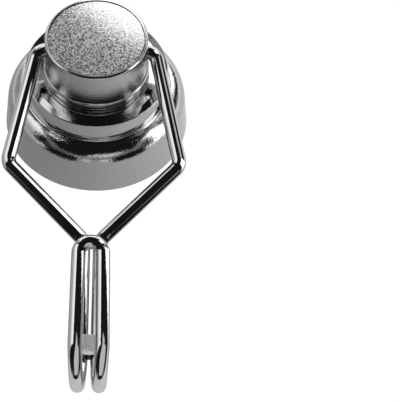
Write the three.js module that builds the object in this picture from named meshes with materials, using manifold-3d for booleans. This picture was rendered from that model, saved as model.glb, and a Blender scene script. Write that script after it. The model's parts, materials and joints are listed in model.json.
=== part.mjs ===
// Magnetic hook. A stepped steel cover holds a ring magnet in a steel pot. A knob turns on a stud on top of
// the cover, and a wire bail swings in two cross holes of the knob. The wire runs down as two arms, then as
// two back legs held by a crimped sleeve, and turns up into a hook with a round tip.
// Millimetres, +Z up. The origin is the centre of the contact face, and the bail lies towards -Y.
import * as THREE from "three";
import { mergeVertices } from "three/addons/utils/BufferGeometryUtils.js";
import Module from "manifold-3d";

// Cover: a tapered skirt, a rounded shoulder and a straight drum
const skirtRadius = 19;
const skirtTaper = 0.4;
const skirtHeight = 7;
const shoulderRise = 4.8;
const shoulderTuck = 0.4;
const drumInset = 3.6;
const drumTop = 17;
const drumEdgeRound = 0.4;
const drumFootRound = 0.5;
const coverWall = 1.2;
const rimRound = 0.3;

// Magnet set inside the skirt
const potClearance = 0.15;
const potRise = 0.6;
const potWall = 2.1;
const potWeb = 2;
const potEdgeRound = 1;
const coreRadius = 5.2;
const coreEdgeRound = 0.3;
const coreClearance = 0.25;
const rivetRadius = 2.4;
const rivetHeadFlange = 1.2;
const rivetHeadHeight = 0.9;
const magnetClearance = 0.2;
const sealDepth = 0.15;
const sealThickness = 0.35;

// Knob and the stud that it turns on
const knobRadius = 10.8;
const knobBelowPivot = 4.9;
const knobAbovePivot = 4.4;
const knobRimWidth = 0.65;
const knobRimLand = 0.05;
const knobBevelDrop = 0.7;
const knobFootFlange = 0.25;
const knobFootHeight = 0.5;
const knobFootBevel = 0.37;
const knobFootRound = 0.2;
const knobWeb = 1.15;
const facePlateInset = 0.25;
const facePlateThickness = 1;
const facePlateEdgeRound = 0.12;
const facePlateClearance = 0.1;
const studRadius = 2.5;
const studClearance = 0.15;
const studEdgeRound = 0.4;
const studHeadFlange = 1.9;
const studHeadHeight = 2.4;
const studSocketRadius = 1.9;
const studSocketDepth = 1.5;
const innerWasherWidth = 3.35;
const innerWasherThickness = 0.8;
const neckWasherInset = 0.15;
const neckWasherThickness = 0.65;
const slipWasherThickness = 0.35;
const axialClearance = 0.1;

// Wire bail. Along is the distance from the pivot down the bail, across is the half width.
const wireRadius = 1.5;
const pivotClearance = 0.25;
const pivotHoleDepth = 5;
const pivotMouthFlare = 0.4;
const wireEndGap = 0.4;
const wireEndRound = 0.3;
const elbowReach = 1.45;
const elbowRound = 2.3;
const armSpread = 5.65;
const armLength = 24.9;
const shoulderRound = 2.6;
const forkLength = 16.8;
const forkRound = 3;
const backLegGap = 0.5;
const frontLegSpread = 1.07;
const tipOpening = 2;
const legLength = 32.8;
const tipReturn = 29.4;
const hookBendLength = 7;
const hookGap = 9;
const restClearance = 0.05;

// Crimped sleeve on the back legs
const sleeveFromBend = 1;
const sleeveLength = 3.7;
const sleeveWall = 0.6;
const sleeveClearance = 0.12;
const sleeveEdgeRound = 0.15;

const cutOverrun = 1;

// Facet counts
const coverSides = 60;
const knobSides = 54;
const innerSides = 32;
const wireSides = 14;
const hookBendSteps = 14;
const cornerSteps = 6;
const roundSteps = 3;

const metal = (color, roughness) => new THREE.MeshStandardMaterial({ color, roughness, metalness: 1 });
const chrome = metal(0xb9bcc0, 0.08);
const zincSteel = metal(0x9a9ca0, 0.35);
const grainedMetal = metal(0x9b9c9e, 0.5);
const castMagnet = new THREE.MeshStandardMaterial({ color: 0x2b2b2d, roughness: 0.8, metalness: 0 });
const resin = new THREE.MeshStandardMaterial({ color: 0x16171a, roughness: 0.5, metalness: 0 });

const wasm = await Module();
wasm.setup();

// A geometry with its shared vertices merged, as a solid that can be cut or joined.
function toSolid(geometry) {
  const bare = geometry.clone();
  bare.deleteAttribute("normal");
  bare.deleteAttribute("uv");
  const merged = mergeVertices(bare, 1e-4);
  return new wasm.Manifold(new wasm.Mesh({
    numProp: 3,
    vertProperties: new Float32Array(merged.attributes.position.array),
    triVerts: new Uint32Array(merged.index.array),
  }));
}

function toGeometry(solid) {
  const mesh = solid.getMesh();
  const geometry = new THREE.BufferGeometry();
  geometry.setAttribute("position", new THREE.BufferAttribute(new Float32Array(mesh.vertProperties), 3));
  geometry.setIndex(new THREE.BufferAttribute(new Uint32Array(mesh.triVerts), 1));
  geometry.computeVertexNormals();
  return geometry;
}

// A profile of [radius, height] points, turned about the Z axis. It runs up the outside of the piece, and
// closes on itself or starts and ends on the axis.
function turned(profile, sides) {
  const points = profile.map(([radius, height]) => new THREE.Vector2(radius, height));
  return new THREE.LatheGeometry(points, sides).rotateX(Math.PI / 2);
}

// Points of an elliptical arc in a profile, from one angle to another, both in degrees.
function arc(centreRadius, centreHeight, alongRadius, alongHeight, fromDegrees, toDegrees, steps) {
  return Array.from({ length: steps + 1 }, (_, step) => {
    const angle = THREE.MathUtils.degToRad(fromDegrees + (toDegrees - fromDegrees) * (step / steps));
    return [centreRadius + alongRadius * Math.cos(angle), centreHeight + alongHeight * Math.sin(angle)];
  });
}

// A turned washer, with its lower face at the given height.
function washer(innerRadius, outerRadius, base, thickness, sides) {
  const top = base + thickness;
  return turned(
    [[innerRadius, base], [outerRadius, base], [outerRadius, top], [innerRadius, top], [innerRadius, base]],
    sides,
  );
}

// Profile of the cover, inset by a wall: skirt, shoulder and drum wall, from the rim upwards.
const skirtTopRadius = skirtRadius - skirtTaper;
const drumRadius = skirtTopRadius - drumInset;
const shoulderRun = drumInset + shoulderTuck;
const shoulderCentre = skirtTopRadius - shoulderRun;

// Height on the outer shoulder curve at a given radius, measured from the top of the skirt.
function shoulderHeightAt(radius) {
  const share = (radius - shoulderCentre) / shoulderRun;
  return shoulderRise * Math.sqrt(1 - share * share);
}

const drumFootHeight = skirtHeight + shoulderHeightAt(drumRadius + drumFootRound);
const shoulderEndDegrees = THREE.MathUtils.radToDeg(
  Math.acos((drumRadius + drumFootRound - shoulderCentre) / shoulderRun),
);
const shoulderSteps = 2 * roundSteps + 2;

function coverOutside() {
  return [
    ...arc(skirtRadius - rimRound, rimRound, rimRound, rimRound, -90, 0, roundSteps),
    ...arc(shoulderCentre, skirtHeight, shoulderRun, shoulderRise, 0, shoulderEndDegrees, shoulderSteps),
    ...arc(drumRadius + drumFootRound, drumFootHeight + drumFootRound, drumFootRound, drumFootRound,
      -90, -180, roundSteps),
    ...arc(drumRadius - drumEdgeRound, drumTop - drumEdgeRound, drumEdgeRound, drumEdgeRound, 0, 90, roundSteps),
  ];
}

const drumCeiling = drumTop - coverWall;
const drumBore = drumRadius - coverWall;
const studHole = studRadius + studClearance;
const skirtBore = skirtRadius - coverWall;
const skirtTopBore = skirtTopRadius - coverWall;

function coverInside() {
  const run = shoulderRun - coverWall / 2;
  const centre = skirtTopBore - run;
  const rise = shoulderRise - coverWall;
  const end = THREE.MathUtils.radToDeg(Math.acos(Math.min(1, (drumBore - centre) / run)));
  return [
    [drumBore, drumCeiling],
    ...arc(centre, skirtHeight, run, rise, end, 0, roundSteps + 1),
    [skirtBore, 0],
  ];
}

function housingShell() {
  const outside = coverOutside();
  return turned([...outside, [studHole, drumTop], [studHole, drumCeiling], ...coverInside(), outside[0]], coverSides);
}

// Magnet set: pot, ring magnet, centre pole and resin
const potRadius = skirtTopBore - potClearance;
const potHeight = skirtHeight + potRise;
const potBore = potRadius - potWall;
const potCeiling = potHeight - potWeb;
const rivetHole = rivetRadius + potClearance;

function magnetPot() {
  return turned(
    [
      [potBore, 0],
      [potRadius, 0],
      ...arc(potRadius - potEdgeRound, potHeight - potEdgeRound, potEdgeRound, potEdgeRound, 0, 90, roundSteps),
      [rivetHole, potHeight],
      [rivetHole, potCeiling],
      [potBore, potCeiling],
      [potBore, 0],
    ],
    coverSides,
  );
}

function ringMagnet() {
  const base = sealDepth + sealThickness + magnetClearance;
  return washer(
    coreRadius + magnetClearance,
    potBore - magnetClearance,
    base,
    potCeiling - magnetClearance - base,
    innerSides,
  );
}

function poleCore() {
  const shoulder = potCeiling - coreClearance;
  const headBase = potHeight + coreClearance;
  const headTop = headBase + rivetHeadHeight;
  const rivetHeadRadius = rivetRadius + rivetHeadFlange;
  return turned(
    [
      [0, 0],
      ...arc(coreRadius - coreEdgeRound, coreEdgeRound, coreEdgeRound, coreEdgeRound, -90, 0, roundSteps),
      [coreRadius, shoulder],
      [rivetRadius, shoulder],
      [rivetRadius, headBase],
      [rivetHeadRadius, headBase],
      ...arc(0, headBase, rivetHeadRadius, rivetHeadHeight, 30, 60, 1),
      [0, headTop],
    ],
    innerSides,
  );
}

function faceSeal() {
  return washer(coreRadius + magnetClearance, potBore - magnetClearance, sealDepth, sealThickness, innerSides);
}

// Heights up the knob: its two washers, its lower face, the bail's pivot, the face plate and the stud's end
const slipWasherBase = drumTop + axialClearance;
const neckWasherBase = slipWasherBase + slipWasherThickness + axialClearance;
const knobBase = neckWasherBase + neckWasherThickness + axialClearance;
const pivotHeight = knobBase + knobBelowPivot;
const knobTop = pivotHeight + knobAbovePivot;
const facePlateTop = knobTop - facePlateInset;
const facePlateBase = facePlateTop - facePlateThickness;
const recessFloor = facePlateBase - facePlateClearance;
const studTop = recessFloor - knobWeb - axialClearance;

// Stud, with its head inside the drum and its shank up through the cover into the knob
const innerWasherBase = drumCeiling - axialClearance - innerWasherThickness;
const studHeadTop = innerWasherBase - axialClearance;
const studHeadBase = studHeadTop - studHeadHeight;
const studHeadRadius = studRadius + studHeadFlange;

function swivelStud() {
  const body = turned(
    [
      [0, studHeadBase],
      ...arc(studHeadRadius - studEdgeRound, studHeadBase + studEdgeRound, studEdgeRound, studEdgeRound,
        -90, 0, roundSteps),
      [studHeadRadius, studHeadTop],
      [studRadius, studHeadTop],
      [studRadius, studTop - studEdgeRound],
      [studRadius - studEdgeRound, studTop],
      [0, studTop],
    ],
    innerSides,
  );
  const socket = new THREE.CylinderGeometry(studSocketRadius, studSocketRadius, studSocketDepth + cutOverrun, 6);
  socket.rotateX(Math.PI / 2);
  socket.translate(0, 0, studHeadBase + (studSocketDepth - cutOverrun) / 2);
  return toGeometry(toSolid(body).subtract(toSolid(socket)));
}

function innerWasher() {
  return washer(studHole, studHole + innerWasherWidth, innerWasherBase, innerWasherThickness, innerSides);
}

// Washers between the drum and the knob, a little smaller than the knob's foot
const knobFootRadius = knobRadius + knobFootFlange;
const neckWasherRadius = knobFootRadius - neckWasherInset;

function slipWasher() {
  return washer(studHole, neckWasherRadius, slipWasherBase, slipWasherThickness, knobSides);
}

function neckWasher() {
  return washer(studHole, neckWasherRadius, neckWasherBase, neckWasherThickness, knobSides);
}

// Knob: bevelled rim, recess for the face plate, flared foot, stud hole and two flared cross holes
const recessRadius = knobRadius - knobRimWidth;
const facePlateRadius = recessRadius - facePlateClearance;
const pivotHoleRadius = wireRadius + pivotClearance;
const pivotHoleEnd = knobRadius - pivotHoleDepth;

function pivotCutter(side) {
  const flareRadius = pivotHoleRadius + pivotMouthFlare;
  const cutter = turned(
    [
      [0, pivotHoleEnd],
      [pivotHoleRadius, pivotHoleEnd],
      [pivotHoleRadius, knobRadius - pivotMouthFlare],
      [flareRadius, knobRadius],
      [flareRadius, knobRadius + cutOverrun],
      [0, knobRadius + cutOverrun],
    ],
    innerSides,
  );
  cutter.rotateY((side * Math.PI) / 2);
  cutter.translate(0, 0, pivotHeight);
  return toSolid(cutter);
}

function knobBody() {
  const body = turned(
    [
      [0, studTop + axialClearance],
      [studHole, studTop + axialClearance],
      [studHole, knobBase],
      ...arc(knobFootRadius - knobFootRound, knobBase + knobFootRound, knobFootRound, knobFootRound,
        -90, 0, roundSteps),
      [knobFootRadius, knobBase + knobFootHeight],
      [knobRadius, knobBase + knobFootHeight + knobFootBevel],
      [knobRadius, knobTop - knobBevelDrop],
      [recessRadius + knobRimLand, knobTop],
      [recessRadius, knobTop],
      [recessRadius, recessFloor],
      [0, recessFloor],
    ],
    knobSides,
  );
  return toGeometry(toSolid(body).subtract(pivotCutter(1)).subtract(pivotCutter(-1)));
}

function knobFacePlate() {
  return turned(
    [
      [0, facePlateBase],
      [facePlateRadius, facePlateBase],
      ...arc(facePlateRadius - facePlateEdgeRound, facePlateTop - facePlateEdgeRound, facePlateEdgeRound,
        facePlateEdgeRound, 0, 90, 2),
      [0, facePlateTop],
    ],
    knobSides,
  );
}

// Wire route. Points are (across, -along, up from the plane of the back legs), so that the bail hangs
// towards -Y from its pivot before it is leant to its rest slope.
const wirePoint = (across, along, up) => new THREE.Vector3(across, -along, up);

// A corner between two straight runs, rounded to a given bend radius.
function bend(before, corner, after, radius) {
  const inward = before.clone().sub(corner).normalize();
  const outward = after.clone().sub(corner).normalize();
  const half = inward.angleTo(outward) / 2;
  const centre = inward.clone().add(outward).normalize().multiplyScalar(radius / Math.sin(half)).add(corner);
  const start = inward.clone().multiplyScalar(radius / Math.tan(half)).add(corner).sub(centre);
  const finish = outward.clone().multiplyScalar(radius / Math.tan(half)).add(corner).sub(centre);
  const sweep = start.angleTo(finish);
  return Array.from({ length: cornerSteps + 1 }, (_, step) => {
    const share = step / cornerSteps;
    const fromStart = Math.sin((1 - share) * sweep) / Math.sin(sweep);
    const fromFinish = Math.sin(share * sweep) / Math.sin(sweep);
    return start.clone().multiplyScalar(fromStart).addScaledVector(finish, fromFinish).add(centre);
  });
}

const elbowAcross = knobRadius + elbowReach;
const shoulderAcross = elbowAcross + armSpread;
const backLegAcross = wireRadius + backLegGap / 2;
const frontLegAcross = backLegAcross + frontLegSpread;
const tipRadius = wireRadius + tipOpening / 2;
const forkAlong = armLength + forkLength;
const hookEndAlong = forkAlong + legLength;
const hookBendCentre = hookEndAlong - hookBendLength;
const tipAlong = hookEndAlong - tipReturn;

// The turn from a back leg to a front leg: half an ellipse, while the legs spread from one spacing to the other.
function hookBend() {
  const rise = hookGap / 2;
  return Array.from({ length: hookBendSteps + 1 }, (_, step) => {
    const share = step / hookBendSteps;
    const angle = Math.PI * share;
    const across = backLegAcross + (frontLegAcross - backLegAcross) * share;
    return wirePoint(across, hookBendCentre + hookBendLength * Math.sin(angle), rise - rise * Math.cos(angle));
  });
}

// One quarter turn of the tip, from a front leg to the middle.
function tipTurn() {
  return Array.from({ length: cornerSteps + 1 }, (_, step) => {
    const angle = ((Math.PI / 2) * step) / cornerSteps;
    return wirePoint(tipRadius * Math.cos(angle), tipAlong + tipRadius - tipRadius * Math.sin(angle), hookGap);
  });
}

// The route of the right half, from the wire's end in the knob to the middle of the tip.
function halfRoute() {
  const end = wirePoint(pivotHoleEnd + wireEndGap, 0, 0);
  const elbow = wirePoint(elbowAcross, 0, 0);
  const shoulder = wirePoint(shoulderAcross, armLength, 0);
  const fork = wirePoint(backLegAcross, forkAlong, 0);
  const legFoot = wirePoint(backLegAcross, hookBendCentre, 0);
  return [
    end,
    ...bend(end, elbow, shoulder, elbowRound),
    ...bend(elbow, shoulder, fork, shoulderRound),
    ...bend(shoulder, fork, legFoot, forkRound),
    ...hookBend(),
    ...tipTurn(),
  ];
}

function bailRoute() {
  const half = halfRoute();
  const mirrored = half.slice(0, -1).reverse().map((point) => point.clone().setX(-point.x));
  return [...half, ...mirrored];
}

// A round wire along a route of points, with a ring square to the route at each point and eased ends.
function wireAlong(route, radius, sides) {
  const tangents = route.map((point, index) => {
    const before = route[Math.max(index - 1, 0)];
    const after = route[Math.min(index + 1, route.length - 1)];
    const incoming = point.clone().sub(before).normalize();
    const outgoing = after.clone().sub(point).normalize();
    return incoming.add(outgoing).normalize();
  });
  let side = new THREE.Vector3(0, 0, 1);
  const positions = [];
  const addRing = (centre, tangent, size) => {
    side = side.clone().addScaledVector(tangent, -side.dot(tangent)).normalize();
    const other = new THREE.Vector3().crossVectors(tangent, side);
    for (let step = 0; step < sides; step += 1) {
      const angle = (2 * Math.PI * step) / sides;
      const point = centre.clone();
      point.addScaledVector(side, size * Math.cos(angle));
      point.addScaledVector(other, size * Math.sin(angle));
      positions.push(...point.toArray());
    }
  };
  const last = route.length - 1;
  addRing(route[0], tangents[0], radius - wireEndRound);
  addRing(route[0].clone().addScaledVector(tangents[0], wireEndRound), tangents[0], radius);
  for (let index = 1; index < last; index += 1) addRing(route[index], tangents[index], radius);
  addRing(route[last].clone().addScaledVector(tangents[last], -wireEndRound), tangents[last], radius);
  addRing(route[last], tangents[last], radius - wireEndRound);

  const rings = positions.length / 3 / sides;
  const triangles = [];
  for (let ring = 0; ring < rings - 1; ring += 1) {
    for (let step = 0; step < sides; step += 1) {
      const here = ring * sides + step;
      const beside = ring * sides + ((step + 1) % sides);
      triangles.push(here, beside, here + sides, beside, beside + sides, here + sides);
    }
  }
  const lastRing = (rings - 1) * sides;
  for (let step = 1; step < sides - 1; step += 1) {
    triangles.push(0, step + 1, step);
    triangles.push(lastRing, lastRing + step, lastRing + step + 1);
  }
  const geometry = new THREE.BufferGeometry();
  geometry.setAttribute("position", new THREE.Float32BufferAttribute(positions, 3));
  geometry.setIndex(triangles);
  geometry.computeVertexNormals();
  return geometry;
}

// A flat-sided oval with round ends, as an outline or a hole.
function oval(path, halfStraight, radius) {
  path.moveTo(-halfStraight, -radius);
  path.lineTo(halfStraight, -radius);
  path.absarc(halfStraight, 0, radius, -Math.PI / 2, Math.PI / 2, false);
  path.lineTo(-halfStraight, radius);
  path.absarc(-halfStraight, 0, radius, Math.PI / 2, (3 * Math.PI) / 2, false);
  return path;
}

function legSleeve() {
  const boreRadius = wireRadius + sleeveClearance;
  const outline = oval(new THREE.Shape(), backLegAcross, boreRadius + sleeveWall - sleeveEdgeRound);
  outline.holes.push(oval(new THREE.Path(), backLegAcross, boreRadius + sleeveEdgeRound));
  const sleeve = new THREE.ExtrudeGeometry(outline, {
    depth: sleeveLength - 2 * sleeveEdgeRound,
    bevelEnabled: true,
    bevelSize: sleeveEdgeRound,
    bevelThickness: sleeveEdgeRound,
    bevelSegments: 1,
    curveSegments: 2 * cornerSteps,
  });
  sleeve.rotateX(Math.PI / 2);
  sleeve.translate(0, sleeveFromBend + sleeveLength - sleeveEdgeRound - hookBendCentre, 0);
  return sleeve;
}

// The slope at which the bail rests: the outside of the hook's bend just touches the plane of the contact face.
function restSlope() {
  const rise = hookGap / 2;
  const heightAt = (slope) => {
    const reach = Math.hypot(hookBendLength * Math.sin(slope), rise * Math.cos(slope));
    const centreHeight = pivotHeight - hookBendCentre * Math.sin(slope) + rise * Math.cos(slope);
    return centreHeight - reach - wireRadius - restClearance;
  };
  let shallow = 0;
  let steep = Math.PI / 4;
  for (let round = 0; round < 40; round += 1) {
    const middle = (shallow + steep) / 2;
    if (heightAt(middle) > 0) shallow = middle;
    else steep = middle;
  }
  return shallow;
}

function piece(name, geometry, material) {
  const mesh = new THREE.Mesh(geometry, material);
  mesh.name = name;
  return mesh;
}

const magnetBase = new THREE.Group();
magnetBase.add(
  piece("housing_shell", housingShell(), chrome),
  piece("magnet_pot", magnetPot(), zincSteel),
  piece("ring_magnet", ringMagnet(), castMagnet),
  piece("pole_core", poleCore(), zincSteel),
  piece("face_seal", faceSeal(), resin),
  piece("slip_washer", slipWasher(), chrome),
);

const swivel = new THREE.Group();
swivel.add(
  piece("knob_body", knobBody(), chrome),
  piece("knob_face_plate", knobFacePlate(), grainedMetal),
  piece("swivel_stud", swivelStud(), zincSteel),
  piece("inner_washer", innerWasher(), zincSteel),
  piece("neck_washer", neckWasher(), chrome),
);

const bail = new THREE.Group();
bail.position.set(0, 0, pivotHeight);
bail.rotation.x = restSlope();
bail.add(
  piece("wire_bail", wireAlong(bailRoute(), wireRadius, wireSides), chrome),
  piece("leg_sleeve", legSleeve(), chrome),
);

const magneticHook = new THREE.Group();
magneticHook.add(magnetBase, swivel, bail);

export default magneticHook;
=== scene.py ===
"""Magnetic hook: a stepped chrome cover round a magnet, a turning knob on it and a swinging wire bail."""

import json
import math

import bmesh
import bpy
from mathutils import Matrix, Vector


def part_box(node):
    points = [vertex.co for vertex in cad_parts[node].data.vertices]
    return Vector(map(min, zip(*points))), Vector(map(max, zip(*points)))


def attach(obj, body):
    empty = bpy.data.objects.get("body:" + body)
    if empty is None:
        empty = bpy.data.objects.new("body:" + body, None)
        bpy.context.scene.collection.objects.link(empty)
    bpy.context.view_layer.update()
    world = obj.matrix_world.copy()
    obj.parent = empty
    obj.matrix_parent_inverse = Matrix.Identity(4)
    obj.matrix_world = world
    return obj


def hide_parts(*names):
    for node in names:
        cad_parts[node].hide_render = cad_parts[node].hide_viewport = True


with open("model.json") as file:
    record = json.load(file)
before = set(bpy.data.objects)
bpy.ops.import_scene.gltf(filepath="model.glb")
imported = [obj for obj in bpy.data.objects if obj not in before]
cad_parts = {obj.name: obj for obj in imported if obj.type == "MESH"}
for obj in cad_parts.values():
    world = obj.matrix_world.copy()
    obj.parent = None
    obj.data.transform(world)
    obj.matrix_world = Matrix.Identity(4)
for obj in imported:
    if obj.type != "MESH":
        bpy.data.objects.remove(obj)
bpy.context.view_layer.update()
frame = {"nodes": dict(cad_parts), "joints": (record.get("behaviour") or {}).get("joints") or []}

# Lengths are in metres, like the frame
MM = 0.001

# Cover. Over the width of its brim, the top of the drum falls a little towards the edge. A crease has a
# point close by on either side, so that it shades crisply.
SKIRT_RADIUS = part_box("housing_shell")[1].y
DRUM_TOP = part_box("housing_shell")[1].z
SKIRT_TAPER = 0.4 * MM
SKIRT_HEIGHT = 7 * MM
SHOULDER_RISE = 4.8 * MM
SHOULDER_TUCK = 0.4 * MM
DRUM_INSET = 3.6 * MM
DRUM_EDGE_ROUND = 0.2 * MM
DRUM_FOOT_ROUND = 0.5 * MM
DRUM_BRIM_WIDTH = 1.65 * MM
DRUM_BRIM_DROP = 0.093 * MM
CREASE = 0.04 * MM
COVER_WALL = 1.2 * MM
RIM_ROUND = 0.3 * MM

# Magnet set
POT_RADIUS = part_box("magnet_pot")[1].y
POT_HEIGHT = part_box("magnet_pot")[1].z
POT_WALL = 2.1 * MM
POT_WEB = 2 * MM
POT_EDGE_ROUND = 1 * MM
POT_FACE_ROUND = 0.15 * MM
RIVET_HOLE = 2.55 * MM
CORE_RADIUS = 5.2 * MM
CORE_EDGE_ROUND = 0.3 * MM
RIVET_RADIUS = 2.4 * MM
RIVET_HEAD_RADIUS = 3.6 * MM
CORE_CLEARANCE = 0.25 * MM
SEAL_BORE = 5.4 * MM
SEAL_EDGE_ROUND = 0.1 * MM

# Knob, face plate and washers
KNOB_FOOT_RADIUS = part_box("knob_body")[1].y
KNOB_FOOT_FLANGE = 0.25 * MM
KNOB_FOOT_ROUND = 0.3 * MM
KNOB_FOOT_HOLLOW = 0.7 * MM
KNOB_RADIUS = KNOB_FOOT_RADIUS - KNOB_FOOT_FLANGE
KNOB_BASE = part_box("knob_body")[0].z
KNOB_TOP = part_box("knob_body")[1].z
KNOB_RIM_WIDTH = 0.65 * MM
KNOB_RIM_ROUND = 0.45 * MM
FACE_PLATE_CLEARANCE = 0.1 * MM
FACE_PLATE_EDGE_ROUND = 0.12 * MM
STUD_HOLE = 2.65 * MM
STUD_HOLE_TOP = 25.1 * MM
WASHER_EDGE_ROUND = 0.12 * MM
PIVOT_HOLE_RADIUS = 1.75 * MM
PIVOT_HOLE_END = 5.8 * MM
PIVOT_MOUTH_FLARE = 0.4 * MM

# Wire bail. Along is the distance from the pivot down the bail, across is the distance from its middle.
WIRE_RADIUS = 1.5 * MM
WIRE_END = 6.2 * MM
WIRE_END_ROUND = 0.3 * MM
ELBOW_ACROSS = 12.25 * MM
ELBOW_ROUND = 2.3 * MM
SHOULDER_ACROSS = 17.9 * MM
SHOULDER_ALONG = 24.9 * MM
SHOULDER_ROUND = 2.6 * MM
FORK_ALONG = 41.7 * MM
FORK_ROUND = 3 * MM
BACK_LEG_ACROSS = 1.75 * MM
FRONT_LEG_ACROSS = 2.82 * MM
TIP_RADIUS = 2.5 * MM
TIP_ALONG = 45.1 * MM
HOOK_END_ALONG = 74.5 * MM
HOOK_BEND_LENGTH = 7 * MM
HOOK_GAP = 9 * MM
REST_CLEARANCE = 0.05 * MM
PIVOT = Vector(next(joint["pos_m"] for joint in frame["joints"] if joint["name"] == "bail_swing"))

# Sleeve on the back legs. The round of its lower end starts at SLEEVE_BEVEL_ANGLE, in degrees.
SLEEVE_START = 62.8 * MM
SLEEVE_LENGTH = 4.3 * MM
SLEEVE_WALL = 0.6 * MM
SLEEVE_CLEARANCE = 0.12 * MM
SLEEVE_EDGE_ROUND = 0.15 * MM
SLEEVE_BEVEL_LENGTH = 1.2 * MM
SLEEVE_BEVEL_DROP = 0.35 * MM
SLEEVE_BEVEL_ANGLE = 20

# Smoothness of the surfaces
TURN_STEPS = 240
ARC_STEPS = 8
EDGE_STEPS = 4
SHOULDER_STEPS = 28
BEND_STEPS = 20
HOOK_STEPS = 56
WIRE_SIDES = 40
SHARP_ANGLE = math.radians(40)
CUT_OVERRUN = 1 * MM
MERGE_DISTANCE = 0.001 * MM
STEEPEST_SLOPE = math.radians(45)
SLOPE_HALVINGS = 40

# Places where a finish changes. A fade is the distance from the middle of a change to either end of it.
# An azimuth is turned from +Y, away from the camera, towards +X, to its right.
PEEL_ABOVE_SKIRT = 0.6 * MM
PEEL_ABOVE_SHOULDER = 0.2 * MM
PEEL_FOOT_FADE = 0.8 * MM
PEEL_TOP_FADE = 0.5 * MM
WALL_FOOT_FADE = 0.4 * MM
WALL_TOP_FADE = 0.15 * MM
# Painted highlight on the face plate: the side that it lies towards, the middle of its soft edge and the
# fade of that edge
PAINTED_HIGHLIGHT_AZIMUTH = math.radians(35)
PAINTED_HIGHLIGHT_MIDDLE = 3.69 * MM
PAINTED_HIGHLIGHT_FADE = 3.69 * MM
# Painted highlight on the sleeve's bevel: how far past the bevel's start it begins, how soft its edge is
# and how far that edge wavers
BEVEL_SHEEN_OFFSET = 0.2 * MM
BEVEL_SHEEN_FADE = 0.08 * MM
BEVEL_SHEEN_WAVER = 0.4 * MM
CRYSTALS_PER_MM = 5.5

# Plate, and the light that it mirrors. PAPER is how bright the ground and the background look. A lamp is
# its middle azimuth, half width, lowest and highest elevation and edge softness in degrees, then its
# brightness.
CHROME = (0.58, 0.58, 0.59)
WHITE = (1, 1, 1, 1)
PAPER = 1.05
DARKNESS = 0.012
LAMPS = {
    "back left screen": (-49, 14, -6, 34, 3, 0.38),
    "back screen": (-2, 32, -6, 43, 3, 1.4),
    "back screen edge": (-38, 4, 32, 50, 4, 1.4),
    "back right lamp": (38, 7, 17, 68, 4, 2.5),
    "back right lamp edge": (50, 6, 24, 34, 3, 1.2),
    "back right screen": (60, 5, -6, 10, 4, 0.35),
    "high right screen": (65, 6, 42, 66, 4, 0.7),
    "low haze left": (-136, 15, -6, 13, 6, 0.2),
    "low haze right": (136, 17, -6, 20, 6, 0.18),
}

# Sheets near the object: the brightness low down and high up, then the corners in millimetres. One passes
# into the other round the middle height.
FLAG = ((12, -45, 0), (36, -30, 0), (36, -30, 15), (12, -45, 15))
CARDS = {
    "left_card": (0.5, 1.4, ((-173, 80, 0), (-173, -58, 0), (-173, -58, 400), (-173, 80, 400))),
    "right_card": (2.2, 2.2, ((78, -37, 0), (78, -6, 0), (78, -6, 110), (78, -37, 110))),
    "white_panel": (3.4, 3.4, (
        (-6, 62, 90), (5, 58.5, 90), (12, 48, 90), (12, 53, 90), (17, 60, 90), (17, 74, 90), (-6, 74, 90),
    )),
    "grey_panel": (0.26, 0.26, ((-26, 24, 92), (11, 24, 92), (11, 56, 92), (-26, 62, 92))),
    "far_panel": (0.34, 0.34, ((17.5, 64.7, 90), (36, 64.7, 90), (36, 88, 90), (17.5, 88, 90))),
    "left_panel": (1.2, 1.2, ((-23, 12, 60), (-14, 12, 60), (-14, 34, 60), (-23, 34, 60))),
    "pale_card": (0.75, 0.75, (
        (6, -65, 38), (40, -65, 38), (56, -90, 38), (44, -175, 36), (-30, -175, 36), (-12, -88, 38),
    )),
    "left_flag": (DARKNESS, DARKNESS, tuple((-x, y, z) for x, y, z in FLAG)),
    "right_flag": (DARKNESS, DARKNESS, FLAG),
}
CARD_MIDDLE = 110 * MM
CARD_FADE = 70 * MM

# Floor. What mirrors it sees a glow that grows towards one side, and again beyond the hook.
FLOOR_REACH = 3
FLOOR_DROP = 0.1 * MM
WHITE_FLOOR_DROP = 0.2 * MM
FLOOR_GLOW = 0.53
FLOOR_SIDE_GLOW = 0.2
FLOOR_SIDE_AZIMUTH = math.radians(60)
FLOOR_FAR_GLOW = 0.4
FLOOR_FAR = 70 * MM
FLOOR_FAR_FADE = 8 * MM

# Camera: the photograph's view, from above the hook's end, with the base left of the middle. The sensor
# is in millimetres.
IMAGE_WIDTH = 400
IMAGE_HEIGHT = 402
BASE_CENTRE_PIXEL = (96.5, 120)
PIXEL = 0.2111 * MM
CAMERA_ROLL = math.radians(1.1)
CAMERA_ELEVATION = math.radians(52.5)
CAMERA_DISTANCE = 1.45
CAMERA_REACH = 100
SENSOR = 36


def build(name, points, edges=(), faces=()):
    """A new piece from points and the edges or faces between them."""
    mesh = bpy.data.meshes.new(name)
    mesh.from_pydata(points, edges, faces)
    mesh.update()
    piece = bpy.data.objects.new(name, mesh)
    bpy.context.scene.collection.objects.link(piece)
    return piece


def settle(piece):
    """Gives a piece the plain mesh that its modifiers make, and removes the modifiers."""
    graph = bpy.context.evaluated_depsgraph_get()
    mesh = bpy.data.meshes.new_from_object(piece.evaluated_get(graph))
    piece.modifiers.clear()
    piece.data = mesh


def cut(piece, cutters):
    """Cuts shapes out of a piece and deletes the shapes."""
    for cutter in cutters:
        step = piece.modifiers.new("cut", "BOOLEAN")
        step.operation = "DIFFERENCE"
        step.solver = "EXACT"
        step.object = cutter
    settle(piece)
    for cutter in cutters:
        bpy.data.objects.remove(cutter)


def finish_surface(piece, material):
    """Smooth shading with crisp edges. The large faces set the shading and the small rounds follow."""
    piece.data.shade_smooth()
    piece.data.set_sharp_from_angle(angle=SHARP_ANGLE)
    piece.data.materials.clear()
    piece.data.materials.append(material)
    weighted = piece.modifiers.new("even shading", "WEIGHTED_NORMAL")
    weighted.keep_sharp = True


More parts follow.
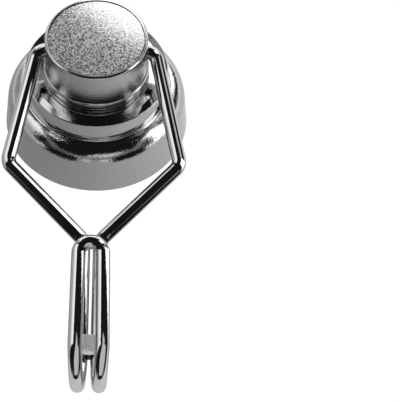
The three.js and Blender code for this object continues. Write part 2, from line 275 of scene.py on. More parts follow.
def skin(rings):
    """The faces between each ring of points and the next. A ring that is one point over and over gets
    triangles."""
    count = len(rings[0])
    faces = []
    for lower, upper in zip(rings, rings[1:]):
        for step in range(count):
            after = (step + 1) % count
            corners = (lower[step], lower[after], upper[after], upper[step])
            faces.append(list(dict.fromkeys(corners)))
    return faces


def arc(centre, radii, start, stop, steps=ARC_STEPS):
    """Points of an elliptical arc in a profile, from one angle to another in degrees."""
    angles = [math.radians(start + (stop - start) * step / steps) for step in range(steps + 1)]
    return [(centre[0] + radii[0] * math.cos(a), centre[1] + radii[1] * math.sin(a)) for a in angles]


def rounded(centre, radius, start, stop, steps=ARC_STEPS):
    """Points of a round arc in a profile."""
    return arc(centre, (radius, radius), start, stop, steps)


def turned(name, profile):
    """A profile of (radius, height) points turned about the upright axis. It runs up the outside of the
    piece, and starts and ends on the axis or closes on itself."""
    points = []
    rings = []
    for radius, height in profile:
        if radius > 0:
            rings.append(range(len(points), len(points) + TURN_STEPS))
            for step in range(TURN_STEPS):
                angle = 2 * math.pi * step / TURN_STEPS
                points.append((radius * math.cos(angle), radius * math.sin(angle), height))
        else:
            rings.append([len(points)] * TURN_STEPS)
            points.append((0, 0, height))
    first_radius, _ = profile[0]
    if first_radius > 0:
        rings.append(rings[0])
    return build(name, points, faces=skin(rings))


def cover_profile():
    """The cover's real wall: a tapered skirt, a shoulder that is a quarter ellipse, and the drum."""
    top_radius = SKIRT_RADIUS - SKIRT_TAPER
    drum = top_radius - DRUM_INSET
    run = DRUM_INSET + SHOULDER_TUCK
    centre = top_radius - run
    share = (drum + DRUM_FOOT_ROUND - centre) / run
    foot = SKIRT_HEIGHT + SHOULDER_RISE * math.sqrt(1 - share * share)
    stop = math.degrees(math.acos(share))
    edge = DRUM_TOP - DRUM_BRIM_DROP - DRUM_EDGE_ROUND
    brim = drum - DRUM_BRIM_WIDTH
    ceiling = DRUM_TOP - COVER_WALL
    bore = drum - COVER_WALL
    inner_run = run - COVER_WALL / 2
    inner_centre = top_radius - COVER_WALL - inner_run
    inner_stop = math.degrees(math.acos((bore - inner_centre) / inner_run))
    return [
        *rounded((SKIRT_RADIUS - RIM_ROUND, RIM_ROUND), RIM_ROUND, -90, 0),
        *arc((centre, SKIRT_HEIGHT), (run, SHOULDER_RISE), 0, stop, SHOULDER_STEPS),
        *rounded((drum + DRUM_FOOT_ROUND, foot + DRUM_FOOT_ROUND), DRUM_FOOT_ROUND, -90, -180),
        *rounded((drum - DRUM_EDGE_ROUND, edge), DRUM_EDGE_ROUND, 0, 90),
        (brim + CREASE, DRUM_TOP - CREASE * DRUM_BRIM_DROP / DRUM_BRIM_WIDTH),
        (brim, DRUM_TOP),
        (brim - CREASE, DRUM_TOP),
        (STUD_HOLE, DRUM_TOP),
        (STUD_HOLE, ceiling),
        (bore, ceiling),
        *arc((inner_centre, SKIRT_HEIGHT), (inner_run, SHOULDER_RISE - COVER_WALL), inner_stop, 0),
        (SKIRT_RADIUS - COVER_WALL, 0),
    ]


def pot_profile():
    """The steel cup, mouth down, with the rivet hole in its web."""
    bore = POT_RADIUS - POT_WALL
    ceiling = POT_HEIGHT - POT_WEB
    outer_face = POT_RADIUS - POT_FACE_ROUND
    return [
        *rounded((bore + POT_FACE_ROUND, POT_FACE_ROUND), POT_FACE_ROUND, 180, 270, EDGE_STEPS),
        *rounded((outer_face, POT_FACE_ROUND), POT_FACE_ROUND, 270, 360, EDGE_STEPS),
        *rounded((POT_RADIUS - POT_EDGE_ROUND, POT_HEIGHT - POT_EDGE_ROUND), POT_EDGE_ROUND, 0, 90),
        (RIVET_HOLE, POT_HEIGHT),
        (RIVET_HOLE, ceiling),
        (bore, ceiling),
    ]


def core_profile():
    """The centre pole, with its neck in the cup's web and the rivet head above."""
    low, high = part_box("pole_core")
    shoulder = POT_HEIGHT - POT_WEB - CORE_CLEARANCE
    head = POT_HEIGHT + CORE_CLEARANCE
    return [
        (0, low.z),
        *rounded((CORE_RADIUS - CORE_EDGE_ROUND, low.z + CORE_EDGE_ROUND), CORE_EDGE_ROUND, -90, 0),
        (CORE_RADIUS, shoulder),
        (RIVET_RADIUS, shoulder),
        (RIVET_RADIUS, head),
        *arc((0, head), (RIVET_HEAD_RADIUS, high.z - head), 0, 90),
    ]


def washer_profile(node, inner_radius, edge_round):
    """A flat ring in the place of a node, with its four edges eased."""
    low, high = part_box(node)
    outer_radius = high.y
    corners = [
        (inner_radius + edge_round, low.z + edge_round, 180),
        (outer_radius - edge_round, low.z + edge_round, 270),
        (outer_radius - edge_round, high.z - edge_round, 0),
        (inner_radius + edge_round, high.z - edge_round, 90),
    ]
    return [
        point
        for radius, height, start in corners
        for point in rounded((radius, height), edge_round, start, start + 90, EDGE_STEPS)
    ]


def knob_foot():
    """The flared foot of the knob: a small round bead, and a hollow that runs up into the wall."""
    span = KNOB_FOOT_ROUND + KNOB_FOOT_HOLLOW
    reach = span - KNOB_FOOT_FLANGE
    meet = math.degrees(math.acos(reach / span))
    bead = (KNOB_FOOT_RADIUS - KNOB_FOOT_ROUND, KNOB_BASE + KNOB_FOOT_ROUND)
    hollow = (bead[0] + reach, bead[1] + math.sqrt(span * span - reach * reach))
    return [
        *rounded(bead, KNOB_FOOT_ROUND, -90, meet),
        *rounded(hollow, KNOB_FOOT_HOLLOW, 180 + meet, 180),
    ]


def knob_profile():
    """The knob, with the stud's hole from below and the face plate's recess from above."""
    recess = KNOB_RADIUS - KNOB_RIM_WIDTH
    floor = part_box("knob_face_plate")[0].z - FACE_PLATE_CLEARANCE
    return [
        (0, STUD_HOLE_TOP),
        (STUD_HOLE, STUD_HOLE_TOP),
        (STUD_HOLE, KNOB_BASE),
        *knob_foot(),
        *rounded((KNOB_RADIUS - KNOB_RIM_ROUND, KNOB_TOP - KNOB_RIM_ROUND), KNOB_RIM_ROUND, 0, 90),
        (recess, KNOB_TOP),
        (recess, floor),
        (0, floor),
    ]


def plate_profile():
    """The face plate, with its upper edge eased."""
    low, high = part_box("knob_face_plate")
    radius = high.y
    centre = (radius - FACE_PLATE_EDGE_ROUND, high.z - FACE_PLATE_EDGE_ROUND)
    return [
        (0, low.z),
        (radius, low.z),
        *rounded(centre, FACE_PLATE_EDGE_ROUND, 0, 90, EDGE_STEPS),
        (0, high.z),
    ]


def pivot_cutter(side):
    """The shape that cuts one cross hole of the knob, with a flared mouth."""
    mouth = PIVOT_HOLE_RADIUS + PIVOT_MOUTH_FLARE
    profile = [
        (0, PIVOT_HOLE_END),
        (PIVOT_HOLE_RADIUS, PIVOT_HOLE_END),
        *rounded((mouth, KNOB_RADIUS - PIVOT_MOUTH_FLARE), PIVOT_MOUTH_FLARE, 180, 90),
        (mouth, KNOB_RADIUS + CUT_OVERRUN),
        (0, KNOB_RADIUS + CUT_OVERRUN),
    ]
    cutter = turned("pivot_cutter", profile)
    cutter.data.transform(Matrix.Translation(PIVOT) @ Matrix.Rotation(side * math.pi / 2, 4, "Y"))
    return cutter


def knob_with_cross_holes():
    """The turned knob, cut from both sides for the ends of the wire."""
    knob = turned("knob_with_cross_holes", knob_profile())
    cut(knob, [pivot_cutter(1), pivot_cutter(-1)])
    return knob


def rest_slope():
    """The slope of the bail at rest: the outside of the hook's bend lies just over the contact plane."""
    rise = HOOK_GAP / 2
    bend_centre = HOOK_END_ALONG - HOOK_BEND_LENGTH
    shallow, steep = 0, STEEPEST_SLOPE
    for _ in range(SLOPE_HALVINGS):
        slope = (shallow + steep) / 2
        reach = math.hypot(HOOK_BEND_LENGTH * math.sin(slope), rise * math.cos(slope))
        height = PIVOT.z - bend_centre * math.sin(slope) + rise * math.cos(slope) - reach
        if height - WIRE_RADIUS - REST_CLEARANCE > 0:
            shallow = slope
        else:
            steep = slope
    return shallow


REST_SLOPE = rest_slope()
BAIL_PLACE = Matrix.Translation(PIVOT) @ Matrix.Rotation(REST_SLOPE, 4, "X")


def bend(before, corner, after, radius):
    """A corner between two straight runs, rounded to a bend radius."""
    inward = (before - corner).normalized()
    outward = (after - corner).normalized()
    half = inward.angle(outward) / 2
    centre = corner + (inward + outward).normalized() * radius / math.sin(half)
    start = corner + inward * radius / math.tan(half) - centre
    finish = corner + outward * radius / math.tan(half) - centre
    axis, sweep = start.cross(finish), start.angle(finish)
    turns = [Matrix.Rotation(sweep * step / BEND_STEPS, 3, axis) for step in range(BEND_STEPS + 1)]
    return [centre + turn @ start for turn in turns]


def hook_bend():
    """The turn from a back leg to a front leg: half an ellipse, while the legs spread apart."""
    rise = HOOK_GAP / 2
    points = []
    for step in range(HOOK_STEPS + 1):
        share = step / HOOK_STEPS
        angle = math.pi * share
        across = BACK_LEG_ACROSS + (FRONT_LEG_ACROSS - BACK_LEG_ACROSS) * share
        along = HOOK_END_ALONG - HOOK_BEND_LENGTH + HOOK_BEND_LENGTH * math.sin(angle)
        points.append(Vector((across, -along, rise - rise * math.cos(angle))))
    return points


def tip_turn():
    """A quarter turn of the tip, from a front leg to the middle."""
    angles = [math.pi / 2 * step / BEND_STEPS for step in range(BEND_STEPS + 1)]
    return [
        Vector((TIP_RADIUS * math.cos(a), TIP_RADIUS * math.sin(a) - TIP_ALONG - TIP_RADIUS, HOOK_GAP))
        for a in angles
    ]


def wire_route():
    """The middle line of the wire, from one end in the knob to the other."""
    elbow = Vector((ELBOW_ACROSS, 0, 0))
    shoulder = Vector((SHOULDER_ACROSS, -SHOULDER_ALONG, 0))
    fork = Vector((BACK_LEG_ACROSS, -FORK_ALONG, 0))
    leg_foot = Vector((BACK_LEG_ACROSS, HOOK_BEND_LENGTH - HOOK_END_ALONG, 0))
    ends = [Vector((WIRE_END + WIRE_END_ROUND * step / ARC_STEPS, 0, 0)) for step in range(ARC_STEPS + 1)]
    half = [
        *ends,
        *bend(ends[0], elbow, shoulder, ELBOW_ROUND),
        *bend(elbow, shoulder, fork, SHOULDER_ROUND),
        *bend(shoulder, fork, leg_foot, FORK_ROUND),
        *hook_bend(),
        *tip_turn(),
    ]
    return half + [Vector((-point.x, point.y, point.z)) for point in reversed(half[:-1])]


class Field:
    """One output of a node tree. Sums, differences, products and quotients add their Math nodes."""

    def __init__(self, nodes, socket):
        self.nodes = nodes
        self.socket = socket

    def maths(self, operation, other=0.0, third=0.0):
        """Adds a Math node that starts from this field."""
        return self.nodes.maths(operation, self, other, third)

    def __add__(self, other):
        return self.maths("ADD", other)

    def __radd__(self, other):
        return self.nodes.maths("ADD", other, self)

    def __sub__(self, other):
        return self.maths("SUBTRACT", other)

    def __rsub__(self, other):
        return self.nodes.maths("SUBTRACT", other, self)

    def __mul__(self, other):
        return self.maths("MULTIPLY", other)

    def __rmul__(self, other):
        return self.nodes.maths("MULTIPLY", other, self)

    def __truediv__(self, other):
        return self.maths("DIVIDE", other)

    def __rtruediv__(self, other):
        return self.nodes.maths("DIVIDE", other, self)

    def rise(self, edge, softness):
        """A soft step from 0 to 1 across an edge."""
        return self.nodes.step("ShaderNodeMapRange", {"interpolation_type": "SMOOTHSTEP"}, {
            "Value": self, "From Min": edge - softness, "From Max": edge + softness,
        })

    def between(self, low, low_softness, high, high_softness):
        """1 between two edges and 0 beyond them, with a soft step at each."""
        return self.rise(low, low_softness) * (1 - self.rise(high, high_softness))


class Nodes:
    """A node tree. Each step adds one node and gives back one of its outputs as a field."""

    def __init__(self, tree):
        self.tree = tree

    def step(self, kind, settings=None, inputs=None, output=0):
        """Adds a node. Its settings come first, then the values or links of its sockets."""
        node = self.tree.nodes.new(kind)
        for label, value in (settings or {}).items():
            setattr(node, label, value)
        for label, value in (inputs or {}).items():
            self.feed(node.inputs[label], value)
        return Field(self, node.outputs[output])

    def feed(self, socket, value):
        """Links a field to a socket, or sets the socket to a plain value."""
        if isinstance(value, Field):
            self.tree.links.new(value.socket, socket)
        else:
            socket.default_value = value

    def maths(self, operation, first, second=0.0, third=0.0):
        """Adds a Math node."""
        return self.step("ShaderNodeMath", {"operation": operation}, {0: first, 1: second, 2: third})

    def vector(self, operation, first, second=(0, 0, 0), output="Vector"):
        """Adds a Vector Math node. The output of some operations is a plain value."""
        return self.step("ShaderNodeVectorMath", {"operation": operation}, {0: first, 1: second}, output)

    def blend(self, factor, first, second):
        """A colour between two colours. The colours of a Mix node are its sockets 6 and 7 and output 2."""
        sockets = {0: factor, 6: (*first, 1), 7: (*second, 1)}
        return self.step("ShaderNodeMix", {"data_type": "RGBA"}, sockets, 2)


class Tree(Nodes):
    """A geometry node tree with named inputs. It turns what its steps make into a plain mesh."""

    def __init__(self, name, inputs):
        super().__init__(bpy.data.node_groups.new(name, "GeometryNodeTree"))
        interface = self.tree.interface
        interface.new_socket("Geometry", in_out="INPUT", socket_type="NodeSocketGeometry")
        self.identifiers = {}
        for label, kind in inputs.items():
            socket = interface.new_socket(label, in_out="INPUT", socket_type=kind)
            self.identifiers[label] = socket.identifier
        interface.new_socket("Geometry", in_out="OUTPUT", socket_type="NodeSocketGeometry")
        source = self.tree.nodes.new("NodeGroupInput").outputs
        self.source = {label: Field(self, source[label]) for label in ("Geometry", *inputs)}
        self.end = self.tree.nodes.new("NodeGroupOutput").inputs["Geometry"]

    def close(self, geometry):
        """Ends the tree: what it made becomes real geometry with the material that was asked for."""
        real = self.step("GeometryNodeRealizeInstances", inputs={"Geometry": geometry})
        dressed = self.step("GeometryNodeSetMaterial", inputs={
            "Geometry": real, "Material": self.source["Material"],
        })
        self.feed(self.end, dressed)

    def make(self, piece, values):
        """Runs the tree on a piece and leaves its result as a plain mesh."""
        modifier = piece.modifiers.new(self.tree.name, "NODES")
        modifier.node_group = self.tree
        for label, value in values.items():
            modifier[self.identifiers[label]] = value
        settle(piece)


def wire_tree():
    """A round wire along a path, with eased ends."""
    made = Tree("round wire", {
        "Wire radius": "NodeSocketFloat",
        "End round": "NodeSocketFloat",
        "Sides": "NodeSocketInt",
        "Material": "NodeSocketMaterial",
    })
    wire_radius, end_round = made.source["Wire radius"], made.source["End round"]
    path = made.step("GeometryNodeMeshToCurve", inputs={"Mesh": made.source["Geometry"]})
    along = made.step("GeometryNodeSplineParameter", output="Length")
    length = made.step("GeometryNodeSplineLength", output="Length")
    from_end = along.maths("MINIMUM", length - along)
    inward = 1 - (from_end / end_round).maths("MINIMUM", 1.0)
    dip = 1 - (1 - inward * inward).maths("SQRT")
    eased = made.step("GeometryNodeSetCurveRadius", inputs={
        "Curve": path, "Radius": 1 - dip * end_round / wire_radius,
    })
    section = made.step("GeometryNodeCurvePrimitiveCircle", inputs={
        "Resolution": made.source["Sides"], "Radius": wire_radius,
    })
    wire = made.step("GeometryNodeCurveToMesh", inputs={
        "Curve": eased, "Profile Curve": section, "Fill Caps": True,
    })
    made.close(wire)
    return made


def wire_bail(material):
    """The bail, bent from one wire and laid at its slope of rest."""
    route = [BAIL_PLACE @ point for point in wire_route()]
    piece = build("bent_wire_bail", route, edges=[(step, step + 1) for step in range(len(route) - 1)])
    wire_tree().make(piece, {
        "Wire radius": WIRE_RADIUS,
        "End round": WIRE_END_ROUND,
        "Sides": WIRE_SIDES,
        "Material": material,
    })
    return piece


def oval_ring(half_straight, radius, along):
    """One turn round a flat-sided oval with round ends, square to the legs at a distance along them."""
    points = []
    for side in (1, -1):
        for step in range(BEND_STEPS + 1):
            angle = side * math.pi / 2 - math.pi * step / BEND_STEPS
            across = side * half_straight + radius * math.cos(angle)
            points.append(BAIL_PLACE @ Vector((across, -along, radius * math.sin(angle))))
    return points


def leg_sleeve():
    """The band round the two back legs: rings of an oval section, skinned one to the next."""
    bore = WIRE_RADIUS + SLEEVE_CLEARANCE
    outer = bore + SLEEVE_WALL
    ease = SLEEVE_EDGE_ROUND
    fine_ease = SLEEVE_EDGE_ROUND / 2
    start, stop = SLEEVE_START, SLEEVE_START + SLEEVE_LENGTH
    bevel_end = (outer - SLEEVE_BEVEL_DROP - fine_ease, stop - fine_ease)
    section = [
        *rounded((bore + ease, start + ease), ease, 180, 270, EDGE_STEPS),
        *rounded((outer - ease, start + ease), ease, 270, 360, EDGE_STEPS),
        (outer, stop - SLEEVE_BEVEL_LENGTH),
        *rounded(bevel_end, fine_ease, SLEEVE_BEVEL_ANGLE, 90, EDGE_STEPS),
        *rounded((bore + fine_ease, stop - fine_ease), fine_ease, 90, 180, EDGE_STEPS),
    ]
    turns = [oval_ring(BACK_LEG_ACROSS, radius, along) for radius, along in section]
    count = len(turns[0])
    rings = [range(turn * count, (turn + 1) * count) for turn in range(len(turns))]
    points = [point for turn in turns for point in turn]
    piece = build("crimped_leg_sleeve", points, faces=skin([*rings, rings[0]]))
    shape = bmesh.new()
    shape.from_mesh(piece.data)
    bmesh.ops.remove_doubles(shape, verts=shape.verts, dist=MERGE_DISTANCE)
    bmesh.ops.recalc_face_normals(shape, faces=shape.faces)
    shape.to_mesh(piece.data)
    shape.free()
    return piece


def grey(level, blue=0.01):
    """A grey colour with a trace of blue."""
    return (level, level, level + blue)


def heading(azimuth):
    """The level direction at an azimuth."""
    return (math.sin(azimuth), math.cos(azimuth), 0)


class Finish(Nodes):
    """A material. It starts with plain values, near the average of what then varies over its surface.
    Its place field is in millimetres."""

    def __init__(self, name, base, roughness, metallic=1):
        self.material = bpy.data.materials.new(name)
        self.material.use_nodes = True
        super().__init__(self.material.node_tree)
        self.surface = self.tree.nodes["Principled BSDF"].inputs
        self.surface["Base Color"].default_value = (*base, 1)
        self.surface["Roughness"].default_value = roughness
        self.surface["Metallic"].default_value = metallic
        metres = self.step("ShaderNodeTexCoord", output="Object")
        self.place = self.step("ShaderNodeVectorMath", {"operation": "SCALE"}, {0: metres, "Scale": 1 / MM})

    def towards(self, direction):
        """How far a point of the surface lies towards a direction of unit length, in millimetres."""
        return self.vector("DOT_PRODUCT", self.place, direction, "Value")

    def band(self, low, low_fade, high, high_fade):
        """1 between two heights of the object and 0 beyond them, with a soft step at each."""
        height = self.towards((0, 0, 1))
        return height.between(low / MM, low_fade / MM, high / MM, high_fade / MM)

    def grain(self, per_mm, detail=2, roughness=0.5, squeeze=(1, 1, 1)):
        """Noise from 0 to 1, with about so many lumps to the millimetre. A squeeze along an axis packs more
        of them into it, and one under 1 draws them out."""
        squeezed = self.vector("MULTIPLY", self.place, squeeze)
        return self.step("ShaderNodeTexNoise", inputs={
            "Vector": squeezed, "Scale": per_mm, "Detail": detail, "Roughness": roughness,
        })

    def tint(self, factor, first, second):
        """Lets the base colour change from one colour to another."""
        self.feed(self.surface["Base Color"], self.blend(factor, first, second))

    def dull(self, roughness):
        """Lets the roughness change over the surface."""
        self.feed(self.surface["Roughness"], roughness)

    def relief(self, height, depth):
        """Lets a height field stand out of the surface by a depth."""
        bump = self.step("ShaderNodeBump", inputs={"Strength": 1.0, "Distance": depth, "Height": height})
        self.feed(self.surface["Normal"], bump)


def cover_finish():
    """Polished plate. The drawn shoulder is uneven, with an orange peel that breaks up what it mirrors."""
    made = Finish("cover_chrome", CHROME, roughness=0.08)
    shoulder = made.band(
        SKIRT_HEIGHT + PEEL_ABOVE_SKIRT, PEEL_FOOT_FADE,
        SKIRT_HEIGHT + SHOULDER_RISE + PEEL_ABOVE_SHOULDER, PEEL_TOP_FADE,
    )
    peel = made.grain(2.2, detail=3, roughness=0.6)
    fine = made.grain(5, roughness=0.6)
    dents = made.grain(0.9)
    peel_share = 0.12 + shoulder * 1.3
    dent_share = 0.2 + shoulder * 0.8
    made.tint(fine.rise(0.5, softness=0.2), grey(0.53), grey(0.63))
    made.dull(0.04 + dents * 0.03)
    made.relief(peel * peel_share + dents * dent_share, 0.03 * MM)
    return made.material


def knob_finish():
    """Polished plate. The turned wall is duller than the rim, with the faint rings that the lathe left."""
    made = Finish("knob_chrome", CHROME, roughness=0.15)
    wall = made.band(
        KNOB_BASE + KNOB_FOOT_ROUND + KNOB_FOOT_HOLLOW, WALL_FOOT_FADE,
        KNOB_TOP - KNOB_RIM_ROUND - WALL_TOP_FADE, WALL_TOP_FADE,
    )
    rings = made.grain(1, detail=3, roughness=0.6, squeeze=(0.12, 0.12, 5))
    cloud = made.grain(2.4, detail=3, roughness=0.6)
    made.tint(cloud, grey(0.52), grey(0.64))
    made.dull(0.05 + wall * 0.1 + cloud * 0.06)
    made.relief(rings * 0.3 + cloud * (0.15 + wall), 0.045 * MM)
    return made.material


def face_finish():
    """Matt grain, blasted into the face plate: bright and dull crystals, a fifth of a millimetre across,
    with a painted highlight that pales the dull crystals towards one side."""
    made = Finish("knob_face_grain", grey(0.6), roughness=0.3)
    crystals = made.step("ShaderNodeTexVoronoi", inputs={
        "Vector": made.place, "Scale": CRYSTALS_PER_MM,
    }, output="Color")
    bright = made.step("ShaderNodeSeparateXYZ", inputs={0: crystals}, output="X")
    fine = made.grain(4.2, roughness=0.7)
    grain = bright * 0.5 + fine * 0.5
    matt = 1 - grain.rise(0.49, softness=0.14)
    # Painted highlight: towards one side the dull crystals are painted paler
    painted_highlight = made.towards(heading(PAINTED_HIGHLIGHT_AZIMUTH)).rise(PAINTED_HIGHLIGHT_MIDDLE / MM, PAINTED_HIGHLIGHT_FADE / MM)
    made.tint(matt * (1 - painted_highlight * 0.6), grey(0.97), grey(0.06, 0.005))
    made.dull(0.19 + fine * 0.08)
    made.relief(fine, 0.006 * MM)
    return made.material


def wire_finish():
    """Polished plate over drawn wire, very slightly uneven."""
    made = Finish("wire_chrome", CHROME, roughness=0.06)
    waves = made.grain(0.5, detail=1)
    made.tint(waves, grey(0.56), grey(0.62))
    made.dull(0.04 + waves * 0.05)
    made.relief(waves, 0.02 * MM)
    return made.material


def sleeve_finish():
    """Satin plate over crimped strip, with fine lines along the legs. At its end the bevel is less rough,
    with a painted highlight that makes it paler.
    """
    made = Finish("sleeve_chrome", grey(0.7), roughness=0.45)
    along = made.towards((0, -math.cos(REST_SLOPE), -math.sin(REST_SLOPE)))
    bevel_start = SLEEVE_START + SLEEVE_LENGTH - SLEEVE_BEVEL_LENGTH - PIVOT.z * math.sin(REST_SLOPE)
    lines = made.grain(1, roughness=0.6, squeeze=(2.6, 0.15, 0.15))
    cloud = made.grain(3)
    uneven = along + cloud * (BEVEL_SHEEN_WAVER / MM)
    # Painted highlight: the bevel's base colour is painted paler, and its roughness is also lowered
    bevel = uneven.rise((bevel_start + BEVEL_SHEEN_OFFSET) / MM, BEVEL_SHEEN_FADE / MM)
    tone = lines.rise(0.5, softness=0.12).maths("MAXIMUM", bevel)
    made.tint(tone, grey(0.74), grey(1, 0))
    made.dull(0.6 + cloud * 0.12 - bevel * 0.35)
    made.relief(lines * (1 - bevel) + cloud * 0.2, 0.08 * MM)
    return made.material


def plated_finish():
    """Zinc plate: cloudy, with the cool tone and the fine turning marks of cheap fittings."""
    made = Finish("plated_steel", (0.58, 0.59, 0.6), roughness=0.35)
    cloud = made.grain(0.7, detail=4, roughness=0.6)
    marks = made.grain(3.5)
    made.tint(cloud.rise(0.5, softness=0.2), (0.46, 0.47, 0.49), (0.63, 0.63, 0.62))
    made.dull(0.26 + cloud * 0.2)
    made.relief(marks * 0.5 + cloud * 0.5, 0.012 * MM)
    return made.material


def magnet_finish():
    """Ground ceramic, dark and dull, with pale specks."""
    made = Finish("magnet_grey", grey(0.1, 0.005), roughness=0.7, metallic=0)
    specks = made.grain(3, detail=4, roughness=0.7)
    marks = made.grain(1, squeeze=(4, 0.5, 4))
    made.tint(specks.rise(0.56, softness=0.1), grey(0.07, 0.005), grey(0.17, 0.005))
    made.dull(0.6 + specks * 0.25)
    made.relief(specks * 0.5 + marks * 0.5, 0.03 * MM)
    return made.material


def seal_finish():
    """Cast resin, nearly black, with a low uneven gloss."""
    made = Finish("seal_resin", grey(0.045, 0.005), roughness=0.4, metallic=0)
    flow = made.grain(0.35, detail=3)
    specks = made.grain(5, roughness=0.6)
    made.tint(specks.rise(0.62, softness=0.08), grey(0.04, 0.005), grey(0.09, 0.005))
    made.dull(0.3 + flow * 0.25)
    made.relief(flow + specks * 0.06, 0.05 * MM)
    return made.material


def place_camera():
    """The camera looks down at the base, and a pixel at the base covers PIXEL."""
    back = Vector((0, -math.cos(CAMERA_ELEVATION), math.sin(CAMERA_ELEVATION)))
    level = Vector((1, 0, 0))
    upward = back.cross(level)
    right = level * math.cos(CAMERA_ROLL) + upward * math.sin(CAMERA_ROLL)
    up = upward * math.cos(CAMERA_ROLL) - level * math.sin(CAMERA_ROLL)
    across, down = BASE_CENTRE_PIXEL
    aim = right * (IMAGE_WIDTH / 2 - across) * PIXEL - up * (IMAGE_HEIGHT / 2 - down) * PIXEL
    data = bpy.data.cameras.new("camera")
    data.sensor_width = SENSOR
    data.lens = SENSOR * CAMERA_DISTANCE / (IMAGE_HEIGHT * PIXEL)
    data.clip_end = CAMERA_REACH
    camera = bpy.data.objects.new("camera", data)
    turn = Matrix((right, up, back)).transposed().to_4x4()
    camera.matrix_world = Matrix.Translation(aim + back * CAMERA_DISTANCE) @ turn
    bpy.context.scene.collection.objects.link(camera)
    bpy.context.scene.camera = camera


def softbox(azimuth, elevation, lamp):
    """The light of one lamp, with soft edges. Azimuth 0 is away from the camera and 90 is to its right."""
    middle, half_width, low, high, softness, brightness = lamp
    apart = (azimuth - middle).maths("WRAP", 180.0, -180.0).maths("ABSOLUTE")
    upright = elevation.between(low, softness, high, softness)
    return (1 - apart.rise(half_width, softness)) * upright * brightness


def light_studio():
    """Large soft lamps and pale screens stand round the object. It is dark overhead and by the camera."""
    world = bpy.data.worlds.new("studio")
    world.use_nodes = True
    studio = Nodes(world.node_tree)
    place = studio.step("ShaderNodeTexCoord", output="Generated")
    across, away, up = (
        studio.step("ShaderNodeSeparateXYZ", inputs={0: place}, output=axis) for axis in "XYZ"
    )
    azimuth = across.maths("ARCTAN2", away) * math.degrees(1)
    elevation = up.maths("ARCSINE") * math.degrees(1)
    light = DARKNESS
    for lamp in LAMPS.values():
        light = light + softbox(azimuth, elevation, lamp)
    shown = studio.step("ShaderNodeLightPath", output="Is Camera Ray")
    room = studio.step("ShaderNodeBackground", inputs={"Color": WHITE, "Strength": light})
    paper = studio.step("ShaderNodeBackground", inputs={"Color": WHITE, "Strength": PAPER})
    mixed = studio.step("ShaderNodeMixShader", inputs={0: shown, 1: room, 2: paper})
    studio.feed(world.node_tree.nodes["World Output"].inputs["Surface"], mixed)
    bpy.context.scene.world = world
    bpy.context.scene.view_settings.view_transform = "Standard"


def sheet(name, corners):
    """A flat sheet of the studio, which isn't part of the object."""
    piece = build(name, corners, faces=[range(len(corners))])
    return piece


def ground(name, drop):
    """A wide level sheet, a little below the contact plane."""
    corners = ((-1, -1), (1, -1), (1, 1), (-1, 1))
    return sheet(name, [(x * FLOOR_REACH, y * FLOOR_REACH, -drop) for x, y in corners])


class Glow(Nodes):
    """The material of a sheet that shines. Its strength socket sets how much."""

    def __init__(self, piece):
        material = bpy.data.materials.new(piece.name)
        material.use_nodes = True
        super().__init__(material.node_tree)
        self.tree.nodes.remove(self.tree.nodes["Principled BSDF"])
        shine = self.step("ShaderNodeEmission")
        self.strength = shine.socket.node.inputs["Strength"]
        self.feed(self.tree.nodes["Material Output"].inputs["Surface"], shine)
        piece.data.materials.append(material)

    def place(self):
        """The place of a point of the sheet, in metres."""
        return self.step("ShaderNodeTexCoord", output="Object")


def lay_floor():
    """A pale floor. What mirrors it sees it fall off towards the front left, and whiten beyond the hook."""
    mirrored = ground("floor", FLOOR_DROP)
    mirrored.visible_camera = False
    glow = Glow(mirrored)
    place = glow.place()
    outward = glow.vector("NORMALIZE", place)
    facing = glow.vector("DOT_PRODUCT", outward, heading(FLOOR_SIDE_AZIMUTH), "Value")
    far = glow.vector("LENGTH", place, output="Value").rise(FLOOR_FAR, FLOOR_FAR_FADE)
    glow.feed(glow.strength, FLOOR_GLOW + facing * FLOOR_SIDE_GLOW + far * FLOOR_FAR_GLOW)
    plain = ground("white_floor", WHITE_FLOOR_DROP)
    plain.visible_glossy = False
    plain.visible_diffuse = False
    paper = Glow(plain)
    paper.feed(paper.strength, PAPER)


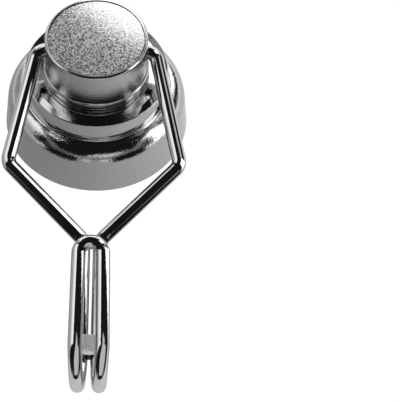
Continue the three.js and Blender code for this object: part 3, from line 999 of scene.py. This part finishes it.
def place_cards():
    """Cards and panels round the object. They show in reflections only."""
    for name, (low, high, corners) in CARDS.items():
        mirrored = sheet(name, [Vector(corner) * MM for corner in corners])
        mirrored.visible_camera = False
        glow = Glow(mirrored)
        height = glow.step("ShaderNodeSeparateXYZ", inputs={0: glow.place()}, output="Z")
        glow.feed(glow.strength, low + height.rise(CARD_MIDDLE, CARD_FADE) * (high - low))


place_camera()

finishes = {
    "cover_chrome": cover_finish(),
    "knob_chrome": knob_finish(),
    "knob_face_grain": face_finish(),
    "wire_chrome": wire_finish(),
    "sleeve_chrome": sleeve_finish(),
    "plated_steel": plated_finish(),
    "magnet_grey": magnet_finish(),
    "seal_resin": seal_finish(),
}

knob = knob_with_cross_holes()
pieces = (
    (turned("stepped_cover", cover_profile()), "magnet_base", "housing_shell", "cover_chrome"),
    (turned("pot_ring", pot_profile()), "magnet_base", "magnet_pot", "plated_steel"),
    (turned("centre_pole", core_profile()), "magnet_base", "pole_core", "plated_steel"),
    (turned("resin_seal", washer_profile("face_seal", SEAL_BORE, SEAL_EDGE_ROUND)),
     "magnet_base", "face_seal", "seal_resin"),
    (turned("slip_ring", washer_profile("slip_washer", STUD_HOLE, WASHER_EDGE_ROUND)),
     "magnet_base", "slip_washer", "knob_chrome"),
    (turned("neck_ring", washer_profile("neck_washer", STUD_HOLE, WASHER_EDGE_ROUND)),
     "knob", "neck_washer", "knob_chrome"),
    (knob, "knob", "knob_body", "knob_chrome"),
    (turned("grained_face_plate", plate_profile()), "knob", "knob_face_plate", "knob_face_grain"),
    (wire_bail(finishes["wire_chrome"]), "bail", "wire_bail", "wire_chrome"),
    (leg_sleeve(), "bail", "leg_sleeve", "sleeve_chrome"),
)
for piece, body, node, slot in pieces:
    finish_surface(piece, finishes[slot])
    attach(piece, body)
    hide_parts(node)

# Hidden pieces keep their solids and take the same finishes
hidden = {"ring_magnet": "magnet_grey", "swivel_stud": "plated_steel", "inner_washer": "plated_steel"}
for node, slot in hidden.items():
    frame["nodes"][node].material_slots[0].material = finishes[slot]

light_studio()
lay_floor()
place_cards()
